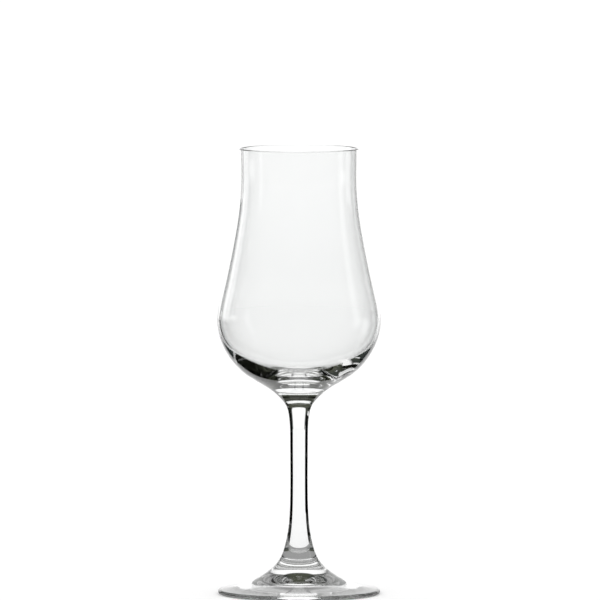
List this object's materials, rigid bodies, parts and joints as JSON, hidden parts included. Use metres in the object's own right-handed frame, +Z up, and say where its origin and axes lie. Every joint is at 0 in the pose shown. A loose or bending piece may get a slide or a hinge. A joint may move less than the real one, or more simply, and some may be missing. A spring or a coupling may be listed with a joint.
{
  "type": "spirits glass",
  "caption": "Clear stemmed spirits glass with a tulip bowl, straight neck, slim stem and round foot, for nosing and sipping spirits.",
  "frame": {"origin": "middle of the foot, in the plane of its resting ring", "axes": "+Z up the stem to the rim; the glass is round about Z, and -Y faces the picture's camera"},
  "size_m": [0.0658, 0.0658, 0.18],
  "materials": {
    "bowl_glass": "clear blown glass, fire polished",
    "stem_glass": "clear drawn glass, fire polished",
    "foot_glass": "clear spun glass, fire polished"
  },
  "bodies": {
    "root": {"bowl": "bowl_glass", "stem": "stem_glass", "foot": "foot_glass"}
  },
  "joints": []
}
